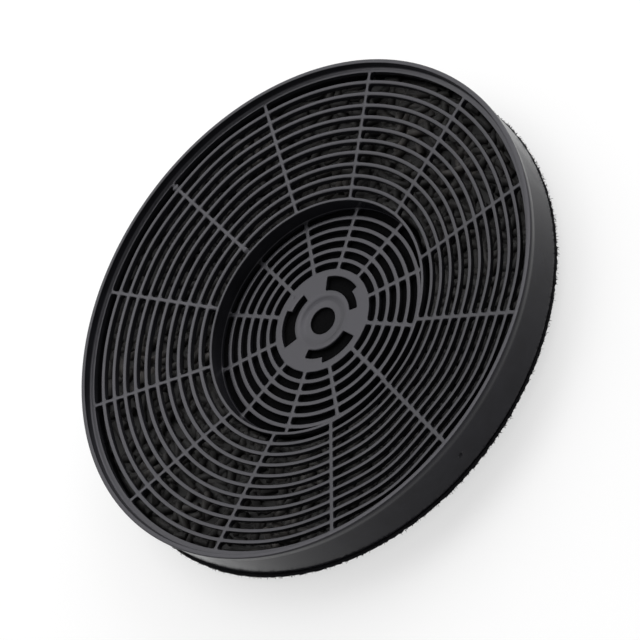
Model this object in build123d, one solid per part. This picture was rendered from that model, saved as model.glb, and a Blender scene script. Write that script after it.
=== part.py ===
from build123d import *
import os
from math import cos, radians, sin

# Round carbon filter for a cooker hood: a moulded casing whose front is a dished
# grille, a bed of carbon pellets inside it, and a felt pad that closes the back.
# It lies on its felt with the grille up. Z = 0 is the felt's underside, and the
# filter's axis is X = Y = 0. Lengths are in millimetres.

# Rim of the casing
lip_diameter = 175.0
lip_width = 1.45
lip_height = 2.87
lip_overhang = 0.45
lip_bead_height = 1.3
casing_depth = 14.2
skirt_wall = 1.6
ledge_width = 1.95
vent_mark_radius = 0.45
vent_mark_depth = 0.6
vent_mark_drop = 8.9

# Both grilles have the same spokes. Their rings are straight-sided between spokes.
spoke_count = 12
first_spoke_angle = -90.0
sides_per_gap = 3

# Outer grille, a shallow dish of rings on spokes
outer_ring_count = 10
outer_ring_width = 1.32
outer_spoke_width = 1.3
outer_bar_depth = 1.9
dish_rise = 9.7

# Step down to the inner grille
step_radius = 42.3
step_edge_width = 1.05
step_height = 5.16
step_draft = 0.4

# Inner grille, flat
inner_ring_count = 5
inner_ring_width = 1.5
inner_spoke_width = 1.45
inner_bar_depth = 1.55

# Hub, with a dished centre hole and three bayonet slots
hub_radius = 18.6
hole_radius = 4.8
dimple_radius = 9.6
dimple_floor_radius = 5.3
dimple_depth = 0.7
bayonet_count = 3
bayonet_inner_radius = 10.8
bayonet_entry_radius = 15.8
bayonet_lock_radius = 13.7
bayonet_lead_angle = 12.0
bayonet_entry_sweep = 51.0
bayonet_lock_sweep = 29.0

# Felt pad
felt_thickness = 2.0
felt_overhang = 1.0
felt_edge_height = 1.9
felt_shoulder_width = 8.5

# Carbon bed
pellet_clearance = 0.3
pellet_headroom = 1.8

# Radii that follow from these
lip_radius = lip_diameter / 2
lip_inner_radius = lip_radius - lip_width
ledge_radius = lip_inner_radius - ledge_width
skirt_radius = lip_radius - lip_overhang
skirt_inner_radius = skirt_radius - skirt_wall
step_wall_radius = step_radius - step_edge_width
step_foot_radius = step_wall_radius - step_draft
felt_radius = skirt_radius + felt_overhang
felt_base_radius = felt_radius - felt_shoulder_width
felt_inner_radius = felt_base_radius - felt_thickness / 2

# Heights that follow from these
inner_top = felt_thickness + inner_bar_depth
step_top = inner_top + step_height
ledge_top = step_top + dish_rise
lip_top = ledge_top + lip_height
skirt_bottom = lip_top - casing_depth
dish_slope = dish_rise / (ledge_radius - step_radius)


def dish_height(radius):
    """Height of the outer grille's top at a radius."""
    return step_top + dish_slope * (radius - step_radius)


def corners(radius, height):
    """Corner points at a radius and height, one on each spoke and more between the spokes."""
    count = sides_per_gap * spoke_count
    turns = [radians(first_spoke_angle + n * 360 / count) for n in range(count)]
    return [Vector(radius * cos(turn), radius * sin(turn), height) for turn in turns]


def straight_sided(radius):
    """Flat outline through the corners at a radius."""
    return make_face(Polyline(*corners(radius, 0), close=True))


def tapered(low_radius, low, high_radius, high):
    """Straight-sided solid from one radius and height to another, with flat faces."""
    lows = corners(low_radius, low)
    highs = corners(high_radius, high)
    loops = [lows, highs]
    for n in range(len(lows)):
        loops.append([lows[n - 1], lows[n], highs[n], highs[n - 1]])
    return Solid(Shell([Face(Wire.make_polygon(loop)) for loop in loops]))


def space_over_dish(drop):
    """Everything above the outer grille's surface, lowered by a drop."""
    return tapered(step_radius, step_top - drop, lip_diameter, dish_height(lip_diameter) - drop)


def revolved(points):
    """Solid turned about the filter's axis from a closed section of (radius, height) points."""
    return revolve(Plane.XZ * make_face(Polyline(*points, close=True)), Axis.Z)


def ring_edges(inner, outer, count, width):
    """Inner and outer radius of each of count rings, spaced evenly between two radii."""
    gap = (outer - inner - count * width) / (count + 1)
    starts = [inner + gap + n * (gap + width) for n in range(count)]
    return [(start, start + width) for start in starts]


def grille_gaps(inner, outer, rings, spoke_width):
    """Flat outline of the gaps that rings and spokes leave between two radii."""
    gaps = straight_sided(outer) - straight_sided(inner)
    for near, far in rings:
        gaps -= straight_sided(far) - straight_sided(near)
    spoke = Pos(outer / 2, 0) * Rectangle(outer + spoke_width, spoke_width)
    for n in range(spoke_count):
        gaps -= Rot(0, 0, first_spoke_angle + n * 360 / spoke_count) * spoke
    return gaps


def ring_sector(inner, outer, start, sweep):
    """Flat sector of a ring, from a start angle through a sweep in degrees."""
    outer_arc = CenterArc((0, 0), outer, start, sweep)
    inner_arc = CenterArc((0, 0), inner, start, sweep)
    first_side = Line(inner_arc @ 0, outer_arc @ 0)
    last_side = Line(inner_arc @ 1, outer_arc @ 1)
    return make_face([outer_arc, last_side, inner_arc, first_side])


def bayonet_slots():
    """Flat outline of the keyhole slots, each a wide entry and then, clockwise, a narrow lock."""
    entry_sweep = bayonet_entry_sweep
    whole_sweep = entry_sweep + bayonet_lock_sweep
    slot = ring_sector(bayonet_inner_radius, bayonet_entry_radius, -entry_sweep, entry_sweep)
    slot += ring_sector(bayonet_inner_radius, bayonet_lock_radius, -whole_sweep, whole_sweep)
    first = first_spoke_angle + bayonet_lead_angle
    turns = [Rot(0, 0, first + n * 360 / bayonet_count) for n in range(bayonet_count)]
    return Sketch() + [turn * slot for turn in turns]


def make_rim():
    """Rim of the casing: skirt, lip with its bead, and the ledge that carries the outer grille."""
    bead_bottom = lip_top - lip_bead_height
    wall = revolved([
        (skirt_inner_radius, skirt_bottom),
        (skirt_radius, skirt_bottom),
        (skirt_radius, bead_bottom),
        (lip_radius, bead_bottom),
        (lip_radius, lip_top),
        (lip_inner_radius, lip_top),
        (lip_inner_radius, ledge_top),
        (skirt_inner_radius, ledge_top),
    ])
    ledge = extrude(Circle(skirt_inner_radius) - straight_sided(ledge_radius), amount=outer_bar_depth)
    return wall + Pos(0, 0, ledge_top - outer_bar_depth) * ledge


def make_outer_grille():
    """Outer grille: a dished plate between the step and the ledge, with its gaps cut through."""
    blank = extrude(straight_sided(ledge_radius) - straight_sided(step_wall_radius), amount=lip_top)
    plate = blank & (space_over_dish(outer_bar_depth) - space_over_dish(0))
    rings = ring_edges(step_radius, ledge_radius, outer_ring_count, outer_ring_width)
    return plate - extrude(grille_gaps(step_radius, ledge_radius, rings, outer_spoke_width), amount=lip_top)


def make_middle():
    """Step wall, inner grille and hub."""
    middle = tapered(step_radius - step_draft, felt_thickness, step_radius, step_top)
    middle -= tapered(step_foot_radius, inner_top, step_wall_radius, step_top)
    rings = ring_edges(hub_radius, step_foot_radius, inner_ring_count, inner_ring_width)
    gaps = grille_gaps(hub_radius, step_foot_radius, rings, inner_spoke_width)
    middle -= extrude(gaps + bayonet_slots() + Circle(hole_radius), amount=inner_top)
    return middle - tapered(dimple_floor_radius, inner_top - dimple_depth, dimple_radius, inner_top)


def vent_mark():
    """Blind pin-hole in the skirt, in line with the first spoke."""
    height = lip_top - vent_mark_drop
    angle = radians(first_spoke_angle)
    mouth = Vector(cos(angle), sin(angle), 0) * skirt_radius + Vector(0, 0, height)
    face = Plane(mouth, z_dir=(cos(angle), sin(angle), 0))
    return extrude(face * RegularPolygon(vent_mark_radius, 6), amount=vent_mark_depth, both=True)


def make_casing():
    """Moulded casing: both grilles, the hub and the rim in one piece."""
    return make_rim() - vent_mark() + make_outer_grille() + make_middle()


def make_felt():
    """Felt pad: flat under the hub, turned up at its edge to the skirt's lower edge."""
    pad = revolved([
        (0, 0),
        (felt_base_radius, 0),
        (felt_radius, skirt_bottom - felt_edge_height),
        (felt_radius, skirt_bottom),
        (0, skirt_bottom),
    ])
    return pad - tapered(felt_inner_radius, felt_thickness, skirt_inner_radius, skirt_bottom)


def make_bed():
    """Bed of pellets: it fills the ring between the step wall and the skirt, up to near the bars."""
    inner = step_radius + pellet_clearance
    outer = skirt_inner_radius - pellet_clearance
    base = felt_thickness + pellet_clearance
    shoulder = skirt_bottom + pellet_clearance
    bed = tapered(felt_inner_radius - pellet_clearance, base, outer, shoulder)
    bed += tapered(outer, shoulder, outer, lip_top)
    bed -= tapered(inner, base, inner, lip_top)
    return bed - space_over_dish(outer_bar_depth + pellet_headroom)


parts = {
    "casing": make_casing(),
    "carbon_bed": make_bed(),
    "backing_felt": make_felt(),
}

os.makedirs("parts", exist_ok=True)
for name, shape in parts.items():
    export_step(shape, f"parts/{name}.step")
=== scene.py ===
import logging
import math
import random
from dataclasses import dataclass, field
from enum import Enum

import bmesh
import bpy
from mathutils import Matrix, Vector, noise


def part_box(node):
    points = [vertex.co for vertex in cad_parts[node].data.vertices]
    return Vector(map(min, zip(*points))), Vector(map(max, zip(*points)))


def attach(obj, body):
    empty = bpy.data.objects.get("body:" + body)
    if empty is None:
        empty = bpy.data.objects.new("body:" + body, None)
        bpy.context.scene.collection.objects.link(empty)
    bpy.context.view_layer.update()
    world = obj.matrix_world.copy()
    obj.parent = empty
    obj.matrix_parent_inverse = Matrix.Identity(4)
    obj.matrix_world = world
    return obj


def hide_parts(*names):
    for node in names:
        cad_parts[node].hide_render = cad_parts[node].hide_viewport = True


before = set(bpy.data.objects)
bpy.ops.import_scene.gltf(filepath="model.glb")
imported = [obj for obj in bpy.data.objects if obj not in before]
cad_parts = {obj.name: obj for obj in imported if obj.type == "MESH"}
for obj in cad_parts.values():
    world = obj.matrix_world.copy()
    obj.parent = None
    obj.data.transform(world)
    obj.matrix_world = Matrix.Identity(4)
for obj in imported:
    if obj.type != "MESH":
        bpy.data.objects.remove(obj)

# Round carbon filter for a cooker hood, lying on its felt with the grille up. The
# sizes below are in millimetres from the felt's underside, and the meshes in metres.
# Turns are in degrees, clockwise seen from above, from the spoke that points to -Y.
MM = 0.001
BODY = "root"
TONE_AND_PAINTED_LIGHT = "tone_and_painted_light"

# (outward, up) or (radius, height) points of a section, and a circle or row of mesh points
Section = tuple[tuple[float, float], ...]
Ring = list[bmesh.types.BMVert]

log = logging.getLogger("carbon_filter")


def linear(colour: str) -> tuple[float, float, float, float]:
    """Turns an sRGB hex colour into the linear colour that Blender works in.

    Args:
        colour: Colour as "#rrggbb".

    Returns:
        Linear red, green, blue and alpha.
    """
    parts = [int(colour[k:k + 2], 16) / 255 for k in (1, 3, 5)]
    low = [p / 12.92 if p <= 0.04045 else ((p + 0.055) / 1.055) ** 2.4 for p in parts]
    return low[0], low[1], low[2], 1.0


def add_node(tree: bpy.types.NodeTree, kind: str, settings: dict | None = None,
             values: dict | None = None, links: dict | None = None) -> bpy.types.Node:
    """Adds one shader node.

    Args:
        tree: Node tree that gets the node.
        kind: Blender's name for the node's type.
        settings: Attributes of the node and their values.
        values: Unlinked inputs and their values.
        links: Inputs and the output socket that feeds each.

    Returns:
        The new node.
    """
    node = tree.nodes.new(kind)
    for name, value in (settings or {}).items():
        setattr(node, name, value)
    for name, value in (values or {}).items():
        node.inputs[name].default_value = value
    for name, socket in (links or {}).items():
        tree.links.new(socket, node.inputs[name])
    return node


def new_material(name: str) -> tuple[bpy.types.Material, bpy.types.NodeTree]:
    """Makes a material with no nodes yet.

    Args:
        name: The real material and how it was made.

    Returns:
        The material and its empty node tree.
    """
    made = bpy.data.materials.new(name)
    made.use_nodes = True
    made.node_tree.nodes.clear()
    return made, made.node_tree


def smooth_step(x: float) -> float:
    """Returns a smooth ramp from 0 to 1 as x goes from 0 to 1."""
    x = min(1.0, max(0.0, x))
    return x * x * (3 - 2 * x)


def polar(radius: float, turn: float, height: float) -> Vector:
    """Returns the point, in metres, at a radius, a clockwise turn in degrees and a height."""
    angle = math.radians(-90 - turn)
    return Vector((radius * math.cos(angle), radius * math.sin(angle), height)) * MM


def section_at(section: Section, radius: float, height: float) -> list[tuple[float, float]]:
    """Returns a section's (outward, up) points as (radius, height), from where it starts."""
    return [(radius + out, height + up) for out, up in section]


def add_object(name: str, mesh: bpy.types.Mesh, material: bpy.types.Material) -> bpy.types.Object:
    """Puts a mesh in the scene, smooth shaded, with its material.

    Args:
        name: Name of the piece.
        mesh: Mesh of the piece, in the row frame.
        material: Material of the whole piece.

    Returns:
        The new object.
    """
    mesh.materials.clear()
    mesh.materials.append(material)
    mesh.polygons.foreach_set("use_smooth", [True] * len(mesh.polygons))
    piece = bpy.data.objects.new(name, mesh)
    bpy.context.scene.collection.objects.link(piece)
    return piece


def finished(work: bmesh.types.BMesh, name: str) -> bpy.types.Mesh:
    """Turns every face outward and makes a mesh of the work.

    Args:
        work: The faces, which are let go.
        name: Name of the mesh.

    Returns:
        The mesh.
    """
    bmesh.ops.recalc_face_normals(work, faces=work.faces)
    mesh = bpy.data.meshes.new(name)
    work.to_mesh(mesh)
    work.free()
    return mesh


def dress(piece: bpy.types.Object, node: str) -> bpy.types.Object:
    """Rides a piece on the filter's body in place of its CAD node.

    Args:
        piece: The finished piece.
        node: CAD node that the piece stands for.

    Returns:
        The same piece.
    """
    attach(piece, BODY)
    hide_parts(node)
    return piece


@dataclass(frozen=True)
class MouldedPolypropylene:
    """Black polypropylene as it leaves a mould: satin, with a fine grain and faint flow marks."""

    # The faces give a dull grey sheen under the softboxes, and the walls a darker, clearer one.
    # The grain is drawn a little coarser than a mould's, so that it shows.
    colour: str = "#1e1e21"
    worn_colour: str = "#252529"
    tint_range: tuple[float, float] = (0.35, 0.75)
    wall_slope: float = 0.1
    face_slope: float = 0.7
    wall_roughness: float = 0.2
    face_roughness: float = 0.36
    wall_shine: float = 0.1
    face_shine: float = 0.43
    least_drift: float = -0.03
    most_drift: float = 0.05
    cast: tuple[float, float, float, float] = (0.94, 0.92, 1.0, 1.0)
    grain_mm: float = 0.35
    grain_depth_mm: float = 0.012
    flow_mm: float = 9.0

    def material(self) -> bpy.types.Material:
        """Builds the material.

        Returns:
            The material of the whole casing.
        """
        made, tree = new_material("black polypropylene, injection moulded")
        place = add_node(tree, "ShaderNodeTexCoord").outputs["Object"]
        flow = add_node(tree, "ShaderNodeTexNoise", values={
            "Scale": 1 / (self.flow_mm * MM), "Detail": 3.0, "Roughness": 0.55}, links={"Vector": place})
        grain = add_node(tree, "ShaderNodeTexNoise", values={
            "Scale": 1 / (self.grain_mm * MM), "Detail": 2.0, "Roughness": 0.5}, links={"Vector": place})
        tint = add_node(tree, "ShaderNodeValToRGB", links={"Fac": flow.outputs["Fac"]})
        for n, colour in enumerate((self.colour, self.worn_colour)):
            tint.color_ramp.elements[n].position = self.tint_range[n]
            tint.color_ramp.elements[n].color = linear(colour)
        # A mould's side walls are polished so that the part comes out, and its faces are left satin.
        normal = add_node(tree, "ShaderNodeNewGeometry").outputs["Normal"]
        upward = add_node(tree, "ShaderNodeSeparateXYZ", links={"Vector": normal}).outputs["Z"]
        polish = add_node(tree, "ShaderNodeMapRange", values={
            "From Min": self.wall_slope, "From Max": self.face_slope, "To Min": self.wall_roughness,
            "To Max": self.face_roughness}, links={"Value": upward})
        shine = add_node(tree, "ShaderNodeMapRange", values={
            "From Min": self.wall_slope, "From Max": self.face_slope, "To Min": self.wall_shine,
            "To Max": self.face_shine}, links={"Value": upward})
        # The polish is uneven, so the gloss drifts a little over each centimetre.
        drift = add_node(tree, "ShaderNodeMapRange", values={
            "From Min": 0.3, "From Max": 0.7, "To Min": self.least_drift, "To Max": self.most_drift},
            links={"Value": flow.outputs["Fac"]})
        gloss = add_node(tree, "ShaderNodeMath", {"operation": "ADD"}, links={
            0: polish.outputs["Result"], 1: drift.outputs["Result"]})
        bump = add_node(tree, "ShaderNodeBump", values={
            "Strength": 0.35, "Distance": self.grain_depth_mm * MM}, links={"Height": grain.outputs["Fac"]})
        shader = add_node(tree, "ShaderNodeBsdfPrincipled", values={
            "IOR": 1.5, "Specular Tint": self.cast}, links={
            "Specular IOR Level": shine.outputs["Result"], "Roughness": gloss.outputs["Value"],
            "Base Color": tint.outputs["Color"], "Normal": bump.outputs["Normal"]})
        add_node(tree, "ShaderNodeOutputMaterial", links={"Surface": shader.outputs["BSDF"]})
        return made


@dataclass(frozen=True)
class ExtrudedCarbon:
    """Activated carbon pressed into pellets: grey-black, dusty and finely pitted."""

    # It has no gloss, so each pellet shows by its dust and by the shade between it and the next.
    # The pits are drawn coarser than true ones, so that they show.
    # The deep colour is painted shade, for the pellets and fines that lie deep.
    painted_deep_shade: str = "#131212"
    colour: str = "#272524"
    dusty_colour: str = "#504b48"
    dust_range: tuple[float, float] = (0.35, 0.7)
    roughness: float = 0.7
    dust_mm: float = 4.0
    pit_mm: float = 0.5
    pit_depth_mm: float = 0.05

    def material(self) -> bpy.types.Material:
        """Builds the material.

        Returns:
            The material of the pellets and the fines.
        """
        made, tree = new_material("activated carbon, extruded pellets")
        place = add_node(tree, "ShaderNodeTexCoord").outputs["Object"]
        dust = add_node(tree, "ShaderNodeTexNoise", values={
            "Scale": 1 / (self.dust_mm * MM), "Detail": 4.0}, links={"Vector": place})
        pits = add_node(tree, "ShaderNodeTexNoise", values={
            "Scale": 1 / (self.pit_mm * MM), "Detail": 3.0, "Roughness": 0.6}, links={"Vector": place})
        tint = add_node(tree, "ShaderNodeValToRGB", links={"Fac": dust.outputs["Fac"]})
        for n, colour in enumerate((self.colour, self.dusty_colour)):
            tint.color_ramp.elements[n].position = self.dust_range[n]
            tint.color_ramp.elements[n].color = linear(colour)
        # Pellets heaped up near the bars are painted grey as painted light, and those that lie deep stay
        # black as painted shade; each also has a little random tone of its own.
        tone_and_light = add_node(tree, "ShaderNodeAttribute", {"attribute_name": TONE_AND_PAINTED_LIGHT}).outputs["Fac"]
        shade = add_node(tree, "ShaderNodeMix", {"data_type": "RGBA"}, links={"Factor": tone_and_light})
        shade.inputs["A"].default_value = linear(self.painted_deep_shade)
        tree.links.new(tint.outputs["Color"], shade.inputs["B"])
        bump = add_node(tree, "ShaderNodeBump", values={
            "Strength": 0.6, "Distance": self.pit_depth_mm * MM}, links={"Height": pits.outputs["Fac"]})
        shader = add_node(tree, "ShaderNodeBsdfPrincipled", values={"Roughness": self.roughness}, links={
            "Base Color": shade.outputs["Result"], "Normal": bump.outputs["Normal"]})
        add_node(tree, "ShaderNodeOutputMaterial", links={"Surface": shader.outputs["BSDF"]})
        return made


@dataclass(frozen=True)
class NeedledFelt:
    """Needle-punched polyester felt, dyed black: matt, with a short fuzz that catches side light."""

    # It swallows light, so only the cut edge shows as a dark, uneven line under the skirt.
    # The fibres are drawn thicker than true ones, so that they show.
    colour: str = "#050506"
    fibre_colour: str = "#0b0b0c"
    fibre_range: tuple[float, float] = (0.4, 0.75)
    # Painted highlight: the cut edge is painted this paler colour, standing in for light on its fuzz.
    painted_lit_edge_colour: str = "#1d1d1f"
    cut_radius_mm: float = 85.0
    cut_blend_mm: float = 1.0
    roughness: float = 0.95
    fibre_mm: float = 0.6
    fibre_depth_mm: float = 0.12
    punch_mm: float = 2.2
    punch_depth_mm: float = 0.15

    def material(self) -> bpy.types.Material:
        """Builds the material.

        Returns:
            The material of the pad and its loose fibres.
        """
        made, tree = new_material("black polyester felt, needle punched")
        place = add_node(tree, "ShaderNodeTexCoord").outputs["Object"]
        fibre = add_node(tree, "ShaderNodeTexNoise", values={
            "Scale": 1 / (self.fibre_mm * MM), "Detail": 4.0, "Distortion": 1.2}, links={"Vector": place})
        punch = add_node(tree, "ShaderNodeTexVoronoi", values={
            "Scale": 1 / (self.punch_mm * MM)}, links={"Vector": place})
        tint = add_node(tree, "ShaderNodeValToRGB", links={"Fac": fibre.outputs["Fac"]})
        for n, colour in enumerate((self.colour, self.fibre_colour)):
            tint.color_ramp.elements[n].position = self.fibre_range[n]
            tint.color_ramp.elements[n].color = linear(colour)
        # The cut edge is painted paler than the faces, a painted highlight for the light that its fuzz
        # catches; the faces keep the felt's own black.
        flat = add_node(tree, "ShaderNodeVectorMath", {"operation": "MULTIPLY"}, {1: (1.0, 1.0, 0.0)},
                        {0: place})
        radius = add_node(tree, "ShaderNodeVectorMath", {"operation": "LENGTH"}, links={
            0: flat.outputs["Vector"]})
        painted_lit_edge = add_node(tree, "ShaderNodeMapRange", values={
            "From Min": (self.cut_radius_mm - self.cut_blend_mm) * MM,
            "From Max": (self.cut_radius_mm + self.cut_blend_mm) * MM}, links={
            "Value": radius.outputs["Value"]})
        shade = add_node(tree, "ShaderNodeMix", {"data_type": "RGBA"}, links={
            "Factor": painted_lit_edge.outputs["Result"]})
        tree.links.new(tint.outputs["Color"], shade.inputs["A"])
        shade.inputs["B"].default_value = linear(self.painted_lit_edge_colour)
        dents = add_node(tree, "ShaderNodeBump", values={
            "Strength": 0.4, "Distance": self.punch_depth_mm * MM}, links={
            "Height": punch.outputs["Distance"]})
        bump = add_node(tree, "ShaderNodeBump", values={
            "Strength": 0.8, "Distance": self.fibre_depth_mm * MM}, links={
            "Height": fibre.outputs["Fac"], "Normal": dents.outputs["Normal"]})
        shader = add_node(tree, "ShaderNodeBsdfPrincipled", values={
            "Roughness": self.roughness, "Sheen Weight": 0.01, "Sheen Roughness": 0.5,
            "Specular IOR Level": 0.04}, links={
            "Base Color": shade.outputs["Result"], "Normal": bump.outputs["Normal"]})
        add_node(tree, "ShaderNodeOutputMaterial", links={"Surface": shader.outputs["BSDF"]})
        return made


@dataclass(frozen=True)
class StudioPaper:
    """White seamless paper under the filter: matt and bright, with a soft, pale shadow."""

    colour: str = "#fafafa"
    glow: float = 0.62

    def material(self) -> bpy.types.Material:
        """Builds the material.

        Returns:
            Matt paper that the camera and all gloss see partly as plain white, with its shadow.
        """
        made, tree = new_material("white studio paper")
        paper = add_node(tree, "ShaderNodeBsdfDiffuse", values={"Color": linear(self.colour)})
        white = add_node(tree, "ShaderNodeEmission", values={"Strength": 1.0})
        path = add_node(tree, "ShaderNodeLightPath")
        seen = path.outputs["Is Camera Ray"]
        for way in ("Is Glossy Ray", "Is Transmission Ray"):
            both = add_node(tree, "ShaderNodeMath", {"operation": "MAXIMUM"}, links={
                0: seen, 1: path.outputs[way]})
            seen = both.outputs["Value"]
        share = add_node(tree, "ShaderNodeMath", {"operation": "MULTIPLY"}, {1: self.glow}, {0: seen})
        mix = add_node(tree, "ShaderNodeMixShader", links={
            "Fac": share.outputs["Value"], 1: paper.outputs["BSDF"], 2: white.outputs["Emission"]})
        add_node(tree, "ShaderNodeOutputMaterial", links={"Surface": mix.outputs["Shader"]})
        return made


class Cell(Enum):
    """What one cell of the casing's wall is."""

    PLASTIC = 1
    GAP = 2


@dataclass(frozen=True)
class Station:
    """One circle of points round the casing, on its front and on its back.

    Attributes:
        radius: Radius on the front.
        front: Height of the front.
        back_radius: Radius on the back.
        back: Height of the back.
        then_front: More (radius, height) points that the front has before the next station.
        then_back: The same for the back.
    """

    radius: float
    front: float
    back_radius: float
    back: float
    then_front: Section = ()
    then_back: Section = ()


@dataclass(frozen=True)
class Sag:
    """How far the rings of one sector hang down between their two spokes, or rise if below 0."""

    sector: int
    depth: float


@dataclass(frozen=True)
class Pad:
    """A place where a spoke is wider and stands up, at a gate or an ejector pin of the mould."""

    spoke: int
    inner: float
    outer: float
    width: float
    lift: float


@dataclass(frozen=True)
class Heap:
    """A place where the pellets reach up to the bars."""

    turn: float
    radius: float
    reach: float


@dataclass
class Casing:
    """Moulded casing: rim, outer grille, step, inner grille and hub, all one skin of one wall."""

    finish: MouldedPolypropylene = field(default_factory=MouldedPolypropylene)

    # Columns of points round the casing, and those that half a spoke takes
    spokes: int = 12
    columns_per_sector: int = 20
    spoke_columns: int = 2

    # Edges and corners of every gap. A rounded corner's point moves in by a share of its size.
    edge: float = 0.22
    edge_drop: float = 0.16
    edge_round: float = 0.17
    corner: float = 0.95
    slot_corner: float = 0.5
    corner_share: float = 0.29
    draft: float = 0.1

    # Rim, with its sections as (outward, up) from the edge that each is named for
    lip_width: float = 1.45
    lip_height: float = 2.87
    lip_bead: float = 1.3
    lip_overhang: float = 0.45
    skirt_wall: float = 1.6
    skirt_depth: float = 16.05
    ledge_width: float = 1.95
    ledge_fillet: Section = ((-0.8, 0.0), (-0.4, 0.1), (-0.16, 0.35), (-0.08, 0.8))
    lip_inner_edge: Section = ((-0.05, -0.35), (0.02, -0.1), (0.18, 0.0))
    lip_outer_edge: Section = ((-0.3, 0.0), (-0.08, -0.1), (0.0, -0.35))
    bead_edge: Section = ((0.0, 0.6), (-0.05, 0.05), (-0.16, -0.5))
    bead_shoulder: Section = ((0.16, -1.05), (0.05, -1.6), (0.0, -2.2))
    skirt_foot: Section = ((0.0, 2.0), (-0.02, 0.5), (-0.2, 0.0))
    skirt_head_back: Section = ((-0.4, 0.0), (0.0, -0.4))
    skirt_foot_back: Section = ((0.0, 0.4), (0.2, 0.0))
    ledge_back_offset: float = 0.2

    # Outer grille
    dish_rise: float = 9.7
    outer_rings: int = 10
    outer_ring_width: float = 1.32
    outer_spoke_width: float = 1.3
    outer_bar: float = 1.9
    sags: tuple[Sag, ...] = (
        Sag(0, 1.3), Sag(1, 0.6), Sag(10, 1.0), Sag(11, 0.9), Sag(5, -0.35), Sag(6, -0.35),
    )
    sag_inner_blend: float = 30.0
    sag_outer_blend: float = 2.2
    pads: tuple[Pad, ...] = (
        Pad(6, 42.5, 44.0, 2.0, 0.3),
        Pad(6, 81.6, 83.0, 3.0, 0.2),
        Pad(4, 43.5, 48.0, 1.6, 0.08),
        Pad(5, 42.5, 45.0, 1.5, 0.12),
    )

    # Step, with its front's sections as (outward, up) from its foot and from its head
    step_radius: float = 42.3
    step_edge: float = 1.05
    step_height: float = 5.16
    step_draft: float = 0.4
    step_gap: float = 0.25
    foot_fillet: Section = ((0.0, 0.05), (0.15, 0.35))
    head_fillet: Section = ((-0.12, -0.5), (0.0, -0.16), (0.17, 0.0))
    step_back_foot: tuple[float, float] = (-0.45, 0.1)
    step_back_head: tuple[float, float] = (-0.3, -2.4)
    step_back_insets: tuple[float, float] = (0.25, 0.22)

    # Inner grille
    inner_rings: int = 5
    inner_ring_width: float = 1.5
    inner_spoke_width: float = 1.45
    inner_bar: float = 1.55

    # Hub: the hole's edge as (outward, up), and the dimple as (inward, share of its depth)
    hub_radius: float = 18.6
    hole_radius: float = 4.8
    hole_edge: Section = ((0.0, -0.08), (0.1, 0.02), (0.3, 0.04))
    dimple_radius: float = 9.6
    dimple_depth: float = 0.7
    dimple_section: Section = ((2.9, 1.0), (2.2, 0.9), (1.2, 0.35), (0.4, 0.06), (-0.1, 0.0))

    # Bayonet slots, and the turns of the hub's columns at the slots' ends, as (column, turn)
    slots: int = 3
    slot_inner: float = 10.8
    slot_entry: float = 15.8
    slot_lock: float = 13.7
    entry_first: int = -8
    entry_last: int = 26
    lock_last: int = 45
    slot_knots: tuple[tuple[int, float], ...] = (
        (-8, -12.0), (-7, -10.4), (25, 37.4), (26, 39.0), (27, 39.7), (44, 66.3), (45, 68.0), (46, 68.7),
        (71, 107.3), (72, 108.0),
    )

    # Between these radii the columns change from the slots' turns to the spokes'.
    slot_turns_end: float = 16.2
    spoke_turns_start: float = 18.2
    turning_radii: tuple[float, ...] = (16.5, 17.0, 17.5, 18.0)

    # Vent mark in the skirt. Its rows and reaches are shares of its radius.
    vent_drop: float = 8.9
    vent_radius: float = 0.55
    vent_depth: float = 1.35
    vent_rim: float = 0.16
    vent_rows: tuple[float, ...] = (2.0, 1.4, 0.55, 0.0, -0.55, -1.4, -2.0)
    vent_columns: int = 2
    vent_floor_reach: float = 0.7
    vent_rim_reach: float = 1.6
    vent_flat_reach: float = 1.8

    # Pit of the mould's gate in the hub
    pit_column: int = 118
    pit_radius: float = 16.6
    pit_depth: float = 0.6

    normal_weight: int = 60
    lip_radius: float = field(init=False)
    lip_top: float = field(init=False)
    floor: float = field(init=False)
    ledge_top: float = field(init=False)
    lip_inner: float = field(init=False)
    ledge_radius: float = field(init=False)
    skirt_radius: float = field(init=False)
    skirt_bottom: float = field(init=False)
    inner_top: float = field(init=False)
    step_top: float = field(init=False)
    step_foot: float = field(init=False)
    columns: int = field(init=False)

    def __post_init__(self) -> None:
        """Takes the casing's reach from its CAD node, and works out the sizes that follow."""
        low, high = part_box("casing")
        self.lip_radius = (high[0] - low[0]) / 2 / MM
        self.lip_top = high[2] / MM
        self.floor = low[2] / MM
        self.ledge_top = self.lip_top - self.lip_height
        self.lip_inner = self.lip_radius - self.lip_width
        self.ledge_radius = self.lip_inner - self.ledge_width
        self.skirt_radius = self.lip_radius - self.lip_overhang
        self.skirt_bottom = self.lip_top - self.skirt_depth
        self.inner_top = self.floor + self.inner_bar
        self.step_top = self.inner_top + self.step_height
        self.step_foot = self.step_radius - self.step_edge - self.step_draft
        self.columns = self.spokes * self.columns_per_sector

    def dish(self, radius: float) -> float:
        """Returns the height of the outer grille's front at a radius."""
        slope = self.dish_rise / (self.ledge_radius - self.step_radius)
        return self.step_top + slope * (radius - self.step_radius)

    def gaps(self, inner: float, outer: float, count: int, width: float) -> list[tuple[float, float]]:
        """Radii of the gaps that a number of even rings leaves between two radii.

        Args:
            inner: Radius where the first gap starts.
            outer: Radius where the last gap ends.
            count: Number of rings.
            width: Width of a ring.

        Returns:
            The inner and outer radius of each gap.
        """
        gap = (outer - inner - count * width) / (count + 1)
        return [(inner + n * (gap + width), inner + n * (gap + width) + gap) for n in range(count + 1)]

    def inner_gaps(self) -> list[tuple[float, float]]:
        """Returns the inner and outer radius of each gap of the inner grille."""
        outer = self.step_foot - self.step_gap
        return self.gaps(self.hub_radius, outer, self.inner_rings, self.inner_ring_width)

    def outer_gaps(self) -> list[tuple[float, float]]:
        """Returns the inner and outer radius of each gap of the outer grille."""
        return self.gaps(self.step_radius, self.ledge_radius, self.outer_rings, self.outer_ring_width)

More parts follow.
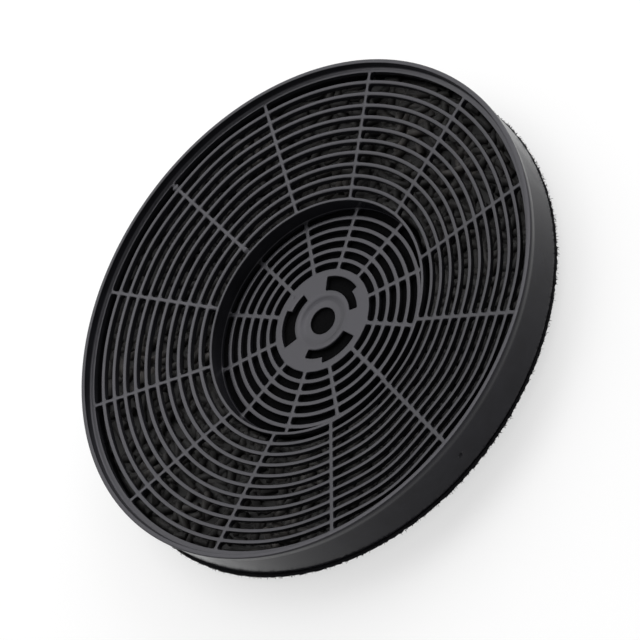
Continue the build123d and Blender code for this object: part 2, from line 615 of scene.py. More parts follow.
    def gap_stations(self, gaps: list[tuple[float, float]]) -> list[float]:
        """Works out the radii that a grille needs, all but the last one's outer edge.

        Args:
            gaps: Inner and outer radius of each gap.

        Returns:
            Each gap's edges, with a radius beside each for its round edge and for its corners.
        """
        radii = []
        for inner, outer in gaps:
            radii += [inner - self.edge, inner, inner + self.corner]
            radii += [outer - self.corner, outer, outer + self.edge]
        return radii[:-1]

    def hub_stations(self) -> list[Station]:
        """Works out the hub: the hole's edge, the dimple and the slots.

        Returns:
            The stations from the hole out to where the spokes' columns start.
        """
        dimple_floor = self.inner_top - self.dimple_depth
        hole = section_at(self.hole_edge, self.hole_radius, dimple_floor)
        dimple = [(self.dimple_radius - inward, self.inner_top - self.dimple_depth * share)
                  for inward, share in self.dimple_section]
        slot = [self.slot_inner - self.edge, self.slot_inner, self.slot_inner + self.slot_corner,
                self.slot_lock - self.slot_corner, self.slot_lock, self.slot_lock + self.edge,
                self.slot_entry - self.slot_corner, self.slot_entry, self.slot_entry + self.edge]
        flat = [(radius, self.inner_top) for radius in (*slot, *self.turning_radii)]
        return [Station(radius, front, radius, self.floor) for radius, front in hole + dimple + flat]

    def step_stations(self) -> list[Station]:
        """Works out the step: its foot, with its wall's points after it, and its rounded head.

        Returns:
            The stations in order.
        """
        wall = self.step_radius - self.step_edge
        back = self.step_top - self.outer_bar
        foot, foot_end = section_at(self.foot_fillet, self.step_foot, self.inner_top)
        head_start, head, head_end = section_at(self.head_fillet, wall, self.step_top)
        low_back = section_at((self.step_back_foot,), self.step_radius, self.floor)
        high_back = section_at((self.step_back_head,), self.step_radius, self.step_top)
        first, second = self.step_back_insets
        return [
            Station(*foot, self.step_foot + self.step_draft, self.floor, then_front=(foot_end, head_start),
                    then_back=(*low_back, *high_back)),
            Station(*head, self.step_radius - first, back),
            Station(*head_end, self.step_radius - second, back),
        ]

    def rim(self) -> Station:
        """Works out the last station.

        Returns:
            The ledge, with the lip and the skirt as its further points.
        """
        bead = self.lip_top - self.lip_bead
        ledge_back = self.ledge_top - self.outer_bar
        vent = self.lip_top - self.vent_drop
        inside = self.skirt_radius - self.skirt_wall
        return Station(
            self.ledge_radius + self.edge_round, self.ledge_top,
            self.ledge_radius + self.ledge_back_offset, ledge_back,
            then_front=(
                *section_at(self.ledge_fillet, self.lip_inner, self.ledge_top),
                *section_at(self.lip_inner_edge, self.lip_inner, self.lip_top),
                *section_at(self.lip_outer_edge, self.lip_radius, self.lip_top),
                *section_at(self.bead_edge, self.lip_radius, bead),
                *section_at(self.bead_shoulder, self.skirt_radius, bead),
                *((self.skirt_radius, vent + share * self.vent_radius) for share in self.vent_rows),
                *section_at(self.skirt_foot, self.skirt_radius, self.skirt_bottom),
            ),
            then_back=(
                *section_at(self.skirt_head_back, inside, ledge_back),
                *section_at(self.skirt_foot_back, inside, self.skirt_bottom),
            ),
        )

    def stations(self) -> list[Station]:
        """Works out the circles of points, from the centre hole out to the rim.

        Returns:
            The stations in order.
        """
        flat = [Station(radius, self.inner_top, radius, self.floor)
                for radius in self.gap_stations(self.inner_gaps())]
        dished = [Station(radius, self.dish(radius), radius, self.dish(radius) - self.outer_bar)
                  for radius in self.gap_stations(self.outer_gaps())]
        return [*self.hub_stations(), *flat, *self.step_stations(), *dished, self.rim()]

    def spoke_width(self, spoke: int, radius: float) -> float:
        """Works out the width of a spoke, with its pads.

        Args:
            spoke: Number of the spoke.
            radius: Radius that it is wanted at.

        Returns:
            The width.
        """
        width = self.inner_spoke_width if radius < self.step_foot else self.outer_spoke_width
        for pad in self.pads:
            if pad.spoke == spoke and pad.inner <= radius <= pad.outer:
                width = pad.width
        return width

    def spoke_turn(self, column: int, radius: float) -> float:
        """Works out a column's turn in the grilles: three at each edge of a spoke, and even between.

        Args:
            column: Number of the column.
            radius: Radius that it is wanted at.

        Returns:
            The turn in degrees.
        """
        sector, step = divmod(column, self.columns_per_sector)
        pitch = 360 / self.spokes
        near = math.degrees(math.asin(self.spoke_width(sector, radius) / 2 / radius))
        far = math.degrees(math.asin(self.spoke_width((sector + 1) % self.spokes, radius) / 2 / radius))
        edge = math.degrees(self.edge / radius)
        corner = math.degrees(self.corner / radius)
        first, last = near + corner, pitch - far - corner
        start = [0.0, near - edge, near, first]
        end = [last, pitch - far, pitch - far + edge]
        last_step = self.columns_per_sector - len(end)
        if step < len(start):
            local = start[step]
        elif step >= last_step:
            local = end[step - last_step]
        else:
            local = first + (last - first) * (step - len(start) + 1) / (last_step - len(start) + 1)
        return sector * pitch + local

    def slot_step(self, column: int) -> tuple[int, int]:
        """Returns which slot a column belongs to, and its place among that slot's columns."""
        slot, step = divmod(column - self.entry_first, self.columns // self.slots)
        return slot, step + self.entry_first

    def slot_turn(self, column: int) -> float:
        """Works out a column's turn in the hub, where columns stand at the ends of the slots.

        Args:
            column: Number of the column.

        Returns:
            The turn in degrees.
        """
        slot, step = self.slot_step(column)
        pairs = zip(self.slot_knots, self.slot_knots[1:])
        (low, start), (high, end) = next(pair for pair in pairs if step < pair[1][0])
        return slot * 360 / self.slots + start + (end - start) * (step - low) / (high - low)

    def turn(self, column: int, radius: float) -> float:
        """Works out a column's turn: the slots' in the hub, the spokes' outside, and a change between.

        Args:
            column: Number of the column.
            radius: Radius that it is wanted at.

        Returns:
            The turn in degrees.
        """
        blend = self.spoke_turns_start - self.slot_turns_end
        share = smooth_step((radius - self.slot_turns_end) / blend)
        if share == 0:
            return self.slot_turn(column)
        if share == 1:
            return self.spoke_turn(column, radius)
        return (1 - share) * self.slot_turn(column) + share * self.spoke_turn(column, radius)

    def cell(self, inner: float, outer: float, column: int, gaps: list[tuple[float, float]]) -> Cell:
        """Says what the cell between two radii, and between a column and the next, is.

        Args:
            inner: Inner radius of the cell.
            outer: Outer radius of the cell.
            column: Column that the cell starts at.
            gaps: Radii of all the gaps of both grilles.

        Returns:
            Plastic or gap.
        """
        middle = (inner + outer) / 2
        if middle < self.hub_radius:
            step = self.slot_step(column)[1]
            entry = self.slot_inner < middle < self.slot_entry and step < self.entry_last
            lock = self.slot_inner < middle < self.slot_lock and step < self.lock_last
            return Cell.GAP if entry or lock else Cell.PLASTIC
        between = any(low < middle < high for low, high in gaps)
        step = column % self.columns_per_sector
        clear = self.spoke_columns <= step < self.columns_per_sector - self.spoke_columns
        return Cell.GAP if between and clear else Cell.PLASTIC

    def sag(self, radius: float, turn: float) -> float:
        """Works out how far the grille hangs down.

        Args:
            radius: Radius of the place.
            turn: Turn of the place in degrees.

        Returns:
            The sag, below 0 where the grille stands up.
        """
        sector, share = divmod(turn % 360, 360 / self.spokes)
        depth = sum(sag.depth for sag in self.sags if sag.sector == int(sector))
        reach = smooth_step((radius - self.step_radius) / self.sag_inner_blend)
        reach *= smooth_step((self.ledge_radius - radius) / self.sag_outer_blend)
        return depth * reach * math.sin(math.pi * share * self.spokes / 360) ** 2

    def lift(self, column: int, radius: float) -> float:
        """Works out how far a pad raises the middle of its spoke.

        Args:
            column: Number of the column.
            radius: Radius of the place.

        Returns:
            The lift, or 0 beside a spoke's middle.
        """
        sector, step = divmod(column + 1, self.columns_per_sector)
        if step > self.spoke_columns:
            return 0.0
        spoke = sector % self.spokes
        return sum(pad.lift for pad in self.pads if pad.spoke == spoke and pad.inner <= radius <= pad.outer)

    def toward_gap(self, cells: list[list[Cell]], i: int, j: int) -> tuple[int, int, int]:
        """Looks at the four cells round a point.

        Args:
            cells: The cells, by station and column.
            i: Station of the point.
            j: Column of the point.

        Returns:
            The way to the gap outward and round, each -1, 0 or 1, and how many of the four are gaps.
        """
        out, side, found = 0, 0, 0
        for di in (-1, 0):
            if not 0 <= i + di < len(cells):
                continue
            for dj in (-1, 0):
                if cells[i + di][(j + dj) % self.columns] is Cell.GAP:
                    out += 2 * di + 1
                    side += 2 * dj + 1
                    found += 1
        if found == 4:
            return 0, 0, 0
        return (out > 0) - (out < 0), (side > 0) - (side < 0), found

    def points(self, station: Station, i: int, j: int, cells: list[list[Cell]]) -> tuple[Vector, Vector]:
        """Works out one point of the front and the one behind it.

        Args:
            station: Station of the point.
            i: Number of the station.
            j: Column of the point.
            cells: The cells, by station and column.

        Returns:
            The front's point, lowered at a gap's edge, and the back's, drawn in by the mould's draft.
        """
        out, side, open_cells = self.toward_gap(cells, i, j)
        corner = self.slot_corner if station.radius < self.slot_turns_end else self.corner
        # One open cell makes a corner that points into plastic, and three make one into the gap.
        round_in = corner * self.corner_share * {1: 1, 3: -1}.get(open_cells, 0)
        radius = station.radius + out * round_in
        turn = self.turn(j, station.radius) + math.degrees(side * round_in / station.radius)
        sag = self.sag(station.radius, turn)
        height = station.front
        if station.radius > self.step_radius:
            height += self.dish(radius) - self.dish(station.radius)
        drop = self.edge_drop if open_cells else -self.lift(j, station.radius)
        back_radius = station.back_radius + out * (round_in - self.draft)
        back_turn = turn - math.degrees(side * self.draft / station.radius)
        return polar(radius, turn, height - drop - sag), polar(back_radius, back_turn, station.back - sag)

    def extra(self, work: bmesh.types.BMesh, section: Section) -> list[Ring]:
        """Adds a full circle of points for each (radius, height), and returns them."""
        turns = [self.spoke_turn(j, self.ledge_radius) for j in range(self.columns)]
        return [[work.verts.new(polar(r, turn, z)) for turn in turns] for r, z in section]

    def skin(self, work: bmesh.types.BMesh, rows: list[Ring], j: int, flip: bool) -> None:
        """Adds the faces of one column between following rows of points.

        Args:
            work: Mesh that gets the faces.
            rows: The rows, in order.
            j: The column.
            flip: Whether the faces look the other way.
        """
        k = (j + 1) % self.columns
        for a, b in zip(rows, rows[1:]):
            corners = (a[j], a[k], b[k], b[j])
            work.faces.new(corners[::-1] if flip else corners)

    def full_circle(self, work: bmesh.types.BMesh, rows: list[Ring], flip: bool) -> None:
        """Adds the faces of every column between following rows of points."""
        for j in range(self.columns):
            self.skin(work, rows, j, flip)

    def walls(self, work: bmesh.types.BMesh, cells: list[list[Cell]], front: list[Ring],
              back: list[Ring], i: int, j: int) -> None:
        """Adds the side walls of a plastic cell toward each gap that it borders.

        Args:
            work: Mesh that gets the walls.
            cells: The cells, by station and column.
            front: Points of the front, by station and column.
            back: Points of the back, by station and column.
            i: Station of the cell.
            j: Column of the cell.
        """
        k = (j + 1) % self.columns
        sides = {
            (i - 1, j): ((i, j), (i, k)),
            (i + 1, j): ((i + 1, k), (i + 1, j)),
            (i, (j - 1) % self.columns): ((i + 1, j), (i, j)),
            (i, k): ((i, k), (i + 1, k)),
        }
        for (ni, nj), (a, b) in sides.items():
            if 0 <= ni < len(cells) and cells[ni][nj] is Cell.GAP:
                work.faces.new((front[a[0]][a[1]], back[a[0]][a[1]], back[b[0]][b[1]], front[b[0]][b[1]]))

    def press_vent_mark(self, rows: list[Ring]) -> None:
        """Presses a small blind mark with a raised rim into the skirt, in line with the first spoke.

        Args:
            rows: Circles of points of the rim's front.
        """
        level = self.lip_top - self.vent_drop
        for row in rows:
            for column in range(-self.vent_columns, self.vent_columns + 1):
                point = row[column].co
                off = abs(point.z / MM - level) / self.vent_radius
                if off > self.vent_rim_reach:
                    continue
                middle = abs(column) < self.vent_columns and off < self.vent_floor_reach
                inward = self.vent_depth if middle else -self.vent_rim
                row[column].co = point - Vector((point.x, point.y, 0)).normalized() * inward * MM

    def press_pit(self, rows: list[Ring]) -> None:
        """Presses the small pit of the mould's gate into the hub's front, at its nearest point."""
        nearest = min(rows, key=lambda row: abs(row[self.pit_column].co.xy.length - self.pit_radius * MM))
        nearest[self.pit_column].co.z -= self.pit_depth * MM

    def add_grilles(self, work: bmesh.types.BMesh, stations: list[Station]) -> tuple[list[Ring], list[Ring]]:
        """Adds the front and the back from the centre hole to the ledge, with every gap open.

        Args:
            work: Mesh that gets the faces.
            stations: The circles of points, in order.

        Returns:
            The circles of points of the front, and those of the back.
        """
        gaps = self.inner_gaps() + self.outer_gaps()
        cells = [[self.cell(a.radius, b.radius, column, gaps) for column in range(self.columns)]
                 for a, b in zip(stations, stations[1:])]
        front, back = [], []
        for i, station in enumerate(stations):
            pairs = [self.points(station, i, j, cells) for j in range(self.columns)]
            made = [(work.verts.new(before), work.verts.new(behind)) for before, behind in pairs]
            front.append([before for before, _ in made])
            back.append([behind for _, behind in made])
        self.press_pit(front)
        for i, row in enumerate(cells):
            for j in range(self.columns):
                if row[j] is Cell.GAP:
                    continue
                if not stations[i].then_front:
                    self.skin(work, front[i:i + 2], j, False)
                if not stations[i].then_back:
                    self.skin(work, back[i:i + 2], j, True)
                self.walls(work, cells, front, back, i, j)
        for i, station in enumerate(stations[:-1]):
            if station.then_front:
                self.full_circle(work, [front[i], *self.extra(work, station.then_front), front[i + 1]], False)
            if station.then_back:
                self.full_circle(work, [back[i], *self.extra(work, station.then_back), back[i + 1]], True)
        return front, back

    def mesh(self) -> bpy.types.Mesh:
        """Builds the whole wall.

        Returns:
            The mesh, closed and with every gap open.
        """
        work = bmesh.new()
        stations = self.stations()
        front, back = self.add_grilles(work, stations)
        front_rim = [front[-1], *self.extra(work, stations[-1].then_front)]
        back_rim = [back[-1], *self.extra(work, stations[-1].then_back)]
        self.press_vent_mark(front_rim[1:])
        self.full_circle(work, front_rim, False)
        self.full_circle(work, back_rim, True)
        self.full_circle(work, [front_rim[-1], back_rim[-1]], False)
        self.full_circle(work, [back[0], front[0]], False)
        return finished(work, "casing_visual")

    def build(self) -> bpy.types.Object:
        """Builds and dresses the casing, flat shaded at its vent mark.

        Returns:
            The casing.
        """
        mesh = self.mesh()
        piece = add_object("casing_visual", mesh, self.finish.material())
        mark = polar(self.skirt_radius, 0, self.lip_top - self.vent_drop)
        for face in mesh.polygons:
            if (face.center - mark).length < self.vent_flat_reach * self.vent_radius * MM:
                face.use_smooth = False
        normals = piece.modifiers.new("flat faces stay flat", "WEIGHTED_NORMAL")
        normals.weight = self.normal_weight
        return dress(piece, "casing")


@dataclass
class CarbonBed:
    """Loose carbon pellets that fill the ring between the step and the skirt."""

    casing: Casing
    finish: ExtrudedCarbon = field(default_factory=ExtrudedCarbon)
    wall_clearance: float = 1.2

    # Layers of pellets, and how the pellets lie in them
    seed: int = 7
    layers: int = 3
    per_layer: int = 700
    tries: int = 20000
    spacing: float = 3.4
    headroom: float = 0.4
    hollow: float = 1.7
    layer_drop: float = 1.5
    uneven_drop: float = 0.8
    lowest: float = 3.8
    most_tilt: float = 10.0
    step_slack: float = 0.8
    skirt_slack: float = 1.0
    heap_blend: float = 1.25
    heaps: tuple[Heap, ...] = (
        Heap(255, 71, 13), Heap(230, 53, 8), Heap(201, 74, 8), Heap(131, 70, 11), Heap(96, 75, 7),
        Heap(75, 75, 8), Heap(49, 76, 9), Heap(44, 55, 9), Heap(279, 67, 8), Heap(128, 46, 6),
        Heap(314, 69, 6),
    )

    # One pellet: its broken ends narrow to a share of its radius
    pellet_radius: float = 1.45
    least_girth: float = 0.93
    most_girth: float = 1.05
    shortest: float = 5.0
    longest: float = 10.0
    sides: int = 9
    end_length: float = 0.22
    end_share: float = 0.72
    own_tone: float = 0.2

    # Fines below the pellets, over the felt's slope from the shoulder outward
    fines_drop: float = 2.4
    fines_rows: int = 26
    fines_columns: int = 180
    fines_past_step: float = 0.6
    fines_past_skirt: float = 0.8
    fines_base: float = 2.6
    fines_least: float = 0.3
    fines_bump: float = 0.35
    fines_bumps_per_mm: float = 0.4
    shoulder_radius: float = 80.0
    shoulder_slope: float = 0.55

    def heaped(self, radius: float, turn: float) -> float:
        """Works out how near a place is to a heap.

        Args:
            radius: Radius of the place.
            turn: Turn of the place in degrees.

        Returns:
            From 0 for none to 1 on top.
        """
        spot = polar(radius, turn, 0)
        away = [(spot - polar(heap.radius, heap.turn, 0)).length / MM / heap.reach for heap in self.heaps]
        return smooth_step(self.heap_blend - min(away))

    def surface(self, radius: float, turn: float) -> float:
        """Works out the height that no pellet rises above.

        Args:
            radius: Radius of the place.
            turn: Turn of the place in degrees.

        Returns:
            The height, near the bars in a heap and lower elsewhere.
        """
        casing = self.casing
        low = self.hollow * (1 - self.heaped(radius, turn))
        bars = casing.dish(radius) - casing.outer_bar
        return bars - self.headroom - low - max(0.0, casing.sag(radius, turn))

    def add_pellet(self, work: bmesh.types.BMesh, place: Matrix, length: float, girth: float,
                   tone_and_painted_light: float) -> None:
        """Adds one pellet: a rod with broken, slightly rounded ends.

        Args:
            work: Mesh that gets the pellet.
            place: Where it lies, along its own X.
            length: Its length.
            girth: Its radius.
            tone_and_painted_light: How grey it is, from 0 to 1: a little random tone, and painted light where
                it lies in a heap near the bars.
        """
        tone_and_light = work.verts.layers.float[TONE_AND_PAINTED_LIGHT]
        half = length / 2
        shoulder = half - self.end_length
        section = ((-half, self.end_share), (-shoulder, 1.0), (shoulder, 1.0), (half, self.end_share))
        rows = []
        for along, share in section:
            row = []
            for n in range(self.sides):
                angle = 2 * math.pi * n / self.sides
                local = Vector((along, girth * share * math.cos(angle), girth * share * math.sin(angle)))
                point = work.verts.new(place @ (local * MM))
                point[tone_and_light] = tone_and_painted_light
                row.append(point)
            rows.append(row)
        for a, b in zip(rows, rows[1:]):
            for n in range(self.sides):
                m = (n + 1) % self.sides
                work.faces.new((a[n], b[n], b[m], a[m]))
        work.faces.new(rows[0])
        work.faces.new(rows[-1][::-1])

    def spots(self, rng: random.Random, inner: float, outer: float) -> list[Vector]:
        """Scatters one layer's pellets, none nearer to another than a pellet is thick.

        Args:
            rng: Source of the seeded random numbers.
            inner: Smallest radius of a pellet's middle.
            outer: Largest radius of a pellet's middle.

        Returns:
            The pellets' middles, in metres at height 0.
        """
        grid: dict[tuple[int, int], list[Vector]] = {}
        found: list[Vector] = []
        for _ in range(self.tries):
            spot = polar(math.sqrt(rng.uniform(inner ** 2, outer ** 2)), rng.uniform(0, 360), 0)
            i, j = int(spot.x // (self.spacing * MM)), int(spot.y // (self.spacing * MM))
            near = [o for di in (-1, 0, 1) for dj in (-1, 0, 1) for o in grid.get((i + di, j + dj), [])]
            if all((spot - other).length > self.spacing * MM for other in near):
                grid.setdefault((i, j), []).append(spot)
                found.append(spot)
                if len(found) == self.per_layer:
                    break
        return found

    def lay(self, work: bmesh.types.BMesh, rng: random.Random, spot: Vector, layer: int,
            inner: float, outer: float) -> None:
        """Lays one pellet, turned along the wall where it would go through it.

        Args:
            work: Mesh that gets the pellet.
            rng: Source of the seeded random numbers.
            spot: The pellet's middle, in metres at height 0.
            layer: Layer that it lies in, 0 at the top.
            inner: Radius of the step wall's clearance.
            outer: Radius of the skirt's clearance.
        """
        radius = spot.length / MM
        turn = -90 - math.degrees(math.atan2(spot.y, spot.x))
        length = rng.uniform(self.shortest, self.longest)
        girth = self.pellet_radius * rng.uniform(self.least_girth, self.most_girth)
        heading = rng.uniform(0, math.pi)
        tilt = math.radians(rng.uniform(-self.most_tilt, self.most_tilt))
        along = Vector((math.cos(heading), math.sin(heading), 0)) * length / 2 * MM
        ends = [(spot + along).length, (spot - along).length]
        if max(ends) > (outer + self.skirt_slack) * MM or min(ends) < (inner - self.step_slack) * MM:
            heading = math.atan2(spot.y, spot.x) + math.pi / 2
        reach = math.sin(abs(tilt)) * length / 2 + girth
        drop = layer * self.layer_drop
        height = self.surface(radius, turn) - reach - drop - rng.uniform(0, self.uneven_drop)
        place = Matrix.Translation((spot.x, spot.y, max(height, self.lowest) * MM))
        place = place @ Matrix.Rotation(heading, 4, "Z") @ Matrix.Rotation(tilt, 4, "Y")
        # Painted light and shade: a pellet in a heap near the bars is painted grey, and one that lies deep
        # stays dark; each also gets a little random tone.
        tone_and_painted_light = rng.uniform(0.0, self.own_tone)
        tone_and_painted_light += rng.uniform(self.own_tone, 1.0) * self.heaped(radius, turn)
        self.add_pellet(work, place, length, girth, min(1.0, tone_and_painted_light))

    def add_fines(self, work: bmesh.types.BMesh, inner: float, outer: float) -> None:
        """Adds the broken grains that fill the bed below the pellets, as one bumpy ring.

        Args:
            work: Mesh that gets the fines.
            inner: Radius of the ring's inner side.
            outer: Radius of its outer side.
        """
        step = self.fines_rows - 1
        section = [(inner + (outer - inner) * n / step, True) for n in range(self.fines_rows)]
        section += [(radius, False) for radius in (outer, self.shoulder_radius, inner)]
        rings = []
        for radius, is_top in section:
            ring = []
            for j in range(self.fines_columns):
                turn = 360 * j / self.fines_columns
                height = self.fines_base + self.shoulder_slope * max(0.0, radius - self.shoulder_radius)
                if is_top:
                    height = max(height + self.fines_least, self.surface(radius, turn) - self.fines_drop)
                    bump = noise.noise(polar(radius, turn, 0) / MM * self.fines_bumps_per_mm)
                    height += self.fines_bump * bump
                ring.append(work.verts.new(polar(radius, turn, height)))
            rings.append(ring)
        for a, b in zip(rings, rings[1:] + rings[:1]):
            for j in range(self.fines_columns):
                k = (j + 1) % self.fines_columns
                work.faces.new((a[j], a[k], b[k], b[j]))

    def build(self) -> bpy.types.Object:
        """Builds and dresses the fines and then the pellets, the top layer first.

        Returns:
            Fines and pellets as one piece.
        """
        casing = self.casing
        rng = random.Random(self.seed)
        inner = casing.step_radius + self.wall_clearance
        outer = casing.skirt_radius - casing.skirt_wall - self.wall_clearance
        work = bmesh.new()
        work.verts.layers.float.new(TONE_AND_PAINTED_LIGHT)
        # The fines keep a share of 0, so they take the painted deep shade.
        self.add_fines(work, inner - self.fines_past_step, outer + self.fines_past_skirt)
        for layer in range(self.layers):
            for spot in self.spots(rng, inner, outer):
                self.lay(work, rng, spot, layer, inner, outer)
        piece = add_object("carbon_pellets", finished(work, "carbon_pellets"), self.finish.material())
        return dress(piece, "carbon_bed")


@dataclass
class BackingFelt:
    """Felt pad that closes the back, with a cut, fuzzy edge that stands round the skirt's foot."""

    casing: Casing
    finish: NeedledFelt = field(default_factory=NeedledFelt)
    columns: int = 720
    thickness: float = 2.0
    fill: float = 0.9

    # How far it stands out from the skirt, as it was laid a little off centre
    overhang: float = 0.5
    off_centre: float = 0.55
    off_centre_turn: float = 85.0
    least_overhang: float = 0.15

    # Its section: flat radii, then points as (outward, height, roughness) from the slope's start,
    # and then from the edge. Where the skirt holds it, points are (outward, up, roughness) from
    # the skirt's foot.
    flat_radii: tuple[float, ...] = (6.0, 25.0, 45.0, 62.0, 72.0)
    slope_width: float = 7.5
    slope: tuple[tuple[float, float, float], ...] = (
        (-2.0, 0.05, 0.05), (0.5, 0.35, 0.15), (2.5, 1.2, 0.2), (4.2, 2.2, 0.25), (5.8, 3.1, 0.3),
    )
    cut_edge: tuple[tuple[float, float, float], ...] = (
        (-0.6, 3.85, 0.3), (-0.15, 4.2, 0.3), (0.0, 4.55, 0.3), (0.0, 4.85, 0.25),
    )
    held: tuple[tuple[float, float, float], ...] = (
        (0.04, -0.05, 0.03), (-0.2, -0.05, 0.0), (-1.6, -0.08, 0.0), (-2.6, -0.7, 0.0),
    )
    inside_slope: tuple[float, float, float] = (1.0, 2.6, 0.05)
    inside_flat: float = -1.0
    inside_drop: float = 0.05
    inside_roughness: float = 0.03

    # Its top outside the skirt, as (share of its reach, height, roughness): one point in from the
    # edge and one out from the skirt
    top_outer: tuple[float, float, float] = (0.25, 5.2, 0.2)
    top_inner: tuple[float, float, float] = (0.4, 5.45, 0.15)

    # How its fibres bunch, as (scale per millimetre, weight)
    bunches: tuple[tuple[float, float], ...] = ((0.75, 1.0), (1.9, 0.7), (4.1, 0.35))

    # Loose fibre ends, thicker than true ones so that they show
    seed: int = 11
    fibres: int = 1800
    fibre_heights: tuple[float, float] = (4.0, 5.4)
    fibre_lengths: tuple[float, float] = (0.5, 1.2)
    fibre_widths: tuple[float, float] = (0.07, 0.13)
    fibre_outward: tuple[float, float] = (0.4, 1.0)
    fibre_sideways: float = 0.9
    fibre_upward: tuple[float, float] = (-0.6, 0.9)
    fibre_bend: float = 0.25
    fibre_droop: float = 0.2
    fibre_sides: int = 3

    # Where a fibre is rooted, as a share of the felt's reach and a depth, then its middle, as shares
    # of its length, bend and width, and then the rise from which it counts as upright
    root_share: float = 0.75
    root_depth: float = 0.1
    middle_length: float = 0.6
    middle_bend: float = 0.4
    middle_width: float = 0.7
    upright: float = 0.9

    def reach(self, turn: float) -> float:
        """Returns how far the felt stands out from the skirt at a turn."""
        reach = self.overhang + self.off_centre * math.cos(math.radians(turn - self.off_centre_turn))
        return max(self.least_overhang, reach)

    def profile(self, turn: float) -> list[tuple[float, float, float]]:
        """Works out the felt's section, from the middle of its underside round to that of its top.

        Args:
            turn: Turn that it is wanted at, in degrees.

        Returns:
            The section's points as (radius, height, roughness).
        """
        skirt, foot = self.casing.skirt_radius, self.casing.skirt_bottom
        base = skirt - self.slope_width
        reach = self.reach(turn)
        edge = skirt + reach
        inside = self.thickness - self.inside_drop
        inward, *outer_rest = self.top_outer
        outward, *inner_rest = self.top_inner
        inside_out, *inside_rest = self.inside_slope
        return [
            *((radius, 0.0, 0.0) for radius in self.flat_radii),
            *((base + out, height, rough) for out, height, rough in self.slope),
            *((edge + out, height, rough) for out, height, rough in self.cut_edge),
            (edge - inward * reach, *outer_rest),
            (skirt + outward * reach, *inner_rest),
            *((skirt + out, foot + up, rough) for out, up, rough in self.held),
            (base + inside_out, *inside_rest),
            (base + self.inside_flat, inside, self.inside_roughness),
            *((radius, inside, self.inside_roughness) for radius in reversed(self.flat_radii)),
        ]

    def bunched(self, point: Vector, outward: Vector, share: float) -> Vector:
        """Moves a point of the felt in or out as its fibres bunch.

        Args:
            point: The point, in metres.
            outward: The way out of the felt.
            share: Roughness there, in millimetres.

        Returns:
            The moved point.
        """
        at = point / MM
        amount = sum(weight * noise.noise(at * per_mm) for per_mm, weight in self.bunches)
        return point + outward * amount * share * MM

    def column(self, work: bmesh.types.BMesh, turn: float) -> Ring:
        """Adds the points of one section.

        Args:
            work: Mesh that gets the points.
            turn: Turn of the section in degrees.

        Returns:
            The points, in the section's order.
        """
        profile = self.profile(turn)
        column = []
        for n, (radius, height, rough) in enumerate(profile):
            before = profile[max(n - 1, 0)]
            after = profile[min(n + 1, len(profile) - 1)]
            run, rise = after[0] - before[0], after[1] - before[1]
            point = polar(radius, turn, height)
            out = Vector((point.x, point.y, 0)).normalized()
            outward = (out * rise - Vector((0, 0, run))) / (math.hypot(run, rise) or 1.0)
            column.append(work.verts.new(self.bunched(point, outward, rough)))
        return column

    def add_pad(self, work: bmesh.types.BMesh) -> None:
        """Adds the pad itself.

        Args:
            work: Mesh that gets the pad.
        """
        columns = [self.column(work, 360 * j / self.columns) for j in range(self.columns)]
        rows = [list(row) for row in zip(*columns)]
        for a, b in zip(rows, rows[1:]):
            for j in range(self.columns):
                k = (j + 1) % self.columns
                work.faces.new((a[j], b[j], b[k], a[k]))
        work.faces.new(rows[0])
        work.faces.new(rows[-1][::-1])

    def add_fibre(self, work: bmesh.types.BMesh, rng: random.Random) -> None:
        """Adds one loose fibre end at the edge, as a thin bent spike.

        Args:
            work: Mesh that gets the fibre.
            rng: Source of the seeded random numbers.
        """
        turn = rng.uniform(0, 360)
        height = rng.uniform(*self.fibre_heights)
        radius = self.casing.skirt_radius + self.root_share * self.reach(turn) - self.root_depth
        root = polar(radius, turn, height)
        out = Vector((root.x, root.y, 0)).normalized()
        along = Vector((-out.y, out.x, 0))
        aim = out * rng.uniform(*self.fibre_outward)
        aim += along * rng.uniform(-self.fibre_sideways, self.fibre_sideways)
        aim += Vector((0, 0, rng.uniform(*self.fibre_upward)))
        aim.normalize()
        length = rng.uniform(*self.fibre_lengths)
        width = rng.uniform(*self.fibre_widths)
        across = aim.cross(Vector((0, 0, 1)) if abs(aim.z) < self.upright else out).normalized()
        other = aim.cross(across)
        bend = along * rng.uniform(-self.fibre_bend, self.fibre_bend)
        bend += Vector((0, 0, rng.uniform(-self.fibre_droop, self.fibre_droop)))
        base, middle = [], []
        for n in range(self.fibre_sides):
            angle = 2 * math.pi * n / self.fibre_sides
            spoke = across * math.cos(angle) + other * math.sin(angle)
            base.append(work.verts.new(root + spoke * width * MM))
            up = aim * length * self.middle_length + bend * self.middle_bend
            middle.append(work.verts.new(root + (up + spoke * width * self.middle_width) * MM))
        tip = work.verts.new(root + (aim * length + bend) * MM)
        for n in range(self.fibre_sides):
            m = (n + 1) % self.fibre_sides
            work.faces.new((base[n], base[m], middle[m], middle[n]))
            work.faces.new((middle[n], middle[m], tip))
        work.faces.new(base[::-1])

    def build(self) -> bpy.types.Object:
        """Builds and dresses the felt.

        Returns:
            The pad with its loose fibres.
        """
        work = bmesh.new()
        self.add_pad(work)
        rng = random.Random(self.seed)
        for _ in range(self.fibres):
            self.add_fibre(work, rng)
        piece = add_object("felt_pad", finished(work, "felt_pad"), self.finish.material())
        dress(piece, "backing_felt")
        return piece


@dataclass(frozen=True)
class Softbox:
    """A rectangular light aimed at the filter, with its place in metres and in degrees from +X."""

    name: str
    azimuth: float
    elevation: float
    distance: float
    width: float
    height: float
    watts: float

    def build(self) -> bpy.types.Object:
        """Hangs the light in its place.

        Returns:
            The light.
        """
        lamp = bpy.data.lights.new(self.name, "AREA")
        lamp.shape = "RECTANGLE"
        lamp.size, lamp.size_y = self.width, self.height
        lamp.energy = self.watts
        hung = bpy.data.objects.new(self.name, lamp)
        a, e = math.radians(self.azimuth), math.radians(self.elevation)
        out = Vector((math.cos(e) * math.cos(a), math.cos(e) * math.sin(a), math.sin(e)))
        hung.location = out * self.distance
        hung.rotation_mode = "QUATERNION"
        hung.rotation_quaternion = out.to_track_quat("Z", "Y")
        bpy.context.scene.collection.objects.link(hung)
        return hung


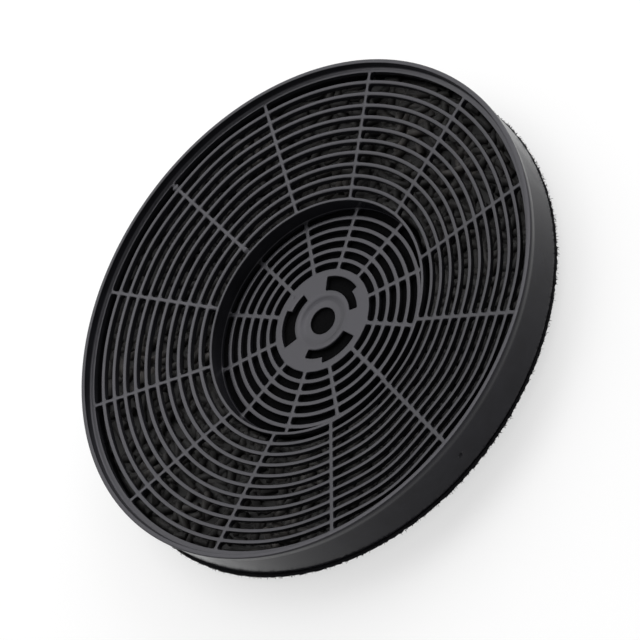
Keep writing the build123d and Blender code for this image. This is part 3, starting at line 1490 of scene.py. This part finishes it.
@dataclass
class Studio:
    """Floor and lights in metres, world, and camera in millimetres and in degrees from +X."""

    paper: StudioPaper = field(default_factory=StudioPaper)
    floor_size: float = 8.0
    world_colour: str = "#ffffff"
    world_strength: float = 0.38
    lights: tuple[Softbox, ...] = (
        Softbox("long softbox", 79.0, 43.0, 2.2, 4.6, 2.4, 46.5),
        Softbox("small softbox", 88.0, 66.0, 2.0, 1.4, 1.0, 11.0),
        Softbox("side softbox", 28.0, 22.0, 1.8, 1.2, 1.2, 14.0),
    )
    lens: float = 107.55
    sensor: float = 36.0
    distance: float = 627.3
    elevation: float = 45.71
    azimuth: float = -84.58
    roll: float = 54.19
    aside: float = 2.53
    below: float = 1.44

    def build_floor(self) -> None:
        """Lays the paper floor."""
        half = self.floor_size / 2
        mesh = bpy.data.meshes.new("floor")
        corners = [(-half, -half, 0), (half, -half, 0), (half, half, 0), (-half, half, 0)]
        mesh.from_pydata(corners, [], [(0, 1, 2, 3)])
        floor = add_object("floor", mesh, self.paper.material())

    def build_world(self) -> None:
        """Sets the plain white world."""
        world = bpy.data.worlds.new("studio")
        world.use_nodes = True
        shade = world.node_tree.nodes["Background"]
        shade.inputs["Color"].default_value = linear(self.world_colour)
        shade.inputs["Strength"].default_value = self.world_strength
        bpy.context.scene.world = world
        bpy.context.scene.view_settings.view_transform = "Standard"

    def build_camera(self) -> None:
        """Stands the camera where the photograph was taken from, rolled as it was."""
        e, a = math.radians(self.elevation), math.radians(self.azimuth)
        back = Vector((math.cos(e) * math.cos(a), math.cos(e) * math.sin(a), math.sin(e)))
        level = (-back).cross(Vector((0, 0, 1))).normalized()
        down = (-back).cross(level)
        r = math.radians(self.roll)
        right = math.cos(r) * level + math.sin(r) * down
        low = -math.sin(r) * level + math.cos(r) * down
        camera = bpy.data.cameras.new("camera")
        camera.lens = self.lens
        camera.sensor_width = self.sensor
        camera.clip_start, camera.clip_end = 0.01, 50.0
        stand = bpy.data.objects.new("camera", camera)
        place = (back * self.distance - right * self.aside - low * self.below) * MM
        turn = Matrix((right, -low, back)).transposed().to_4x4()
        stand.matrix_world = Matrix.Translation(place) @ turn
        bpy.context.scene.collection.objects.link(stand)
        bpy.context.scene.camera = stand

    def build(self) -> None:
        """Builds the whole studio."""
        self.build_floor()
        self.build_world()
        for light in self.lights:
            light.build()
        self.build_camera()


def main() -> None:
    """Builds the filter and the studio."""
    logging.basicConfig(level=logging.INFO, format="%(name)s %(message)s")
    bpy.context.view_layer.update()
    casing = Casing()
    for assembly in (casing, CarbonBed(casing), BackingFelt(casing)):
        piece = assembly.build()
        log.info("%s: %d faces", piece.name, len(piece.data.polygons))
    Studio().build()


if __name__ == "__main__":
    main()
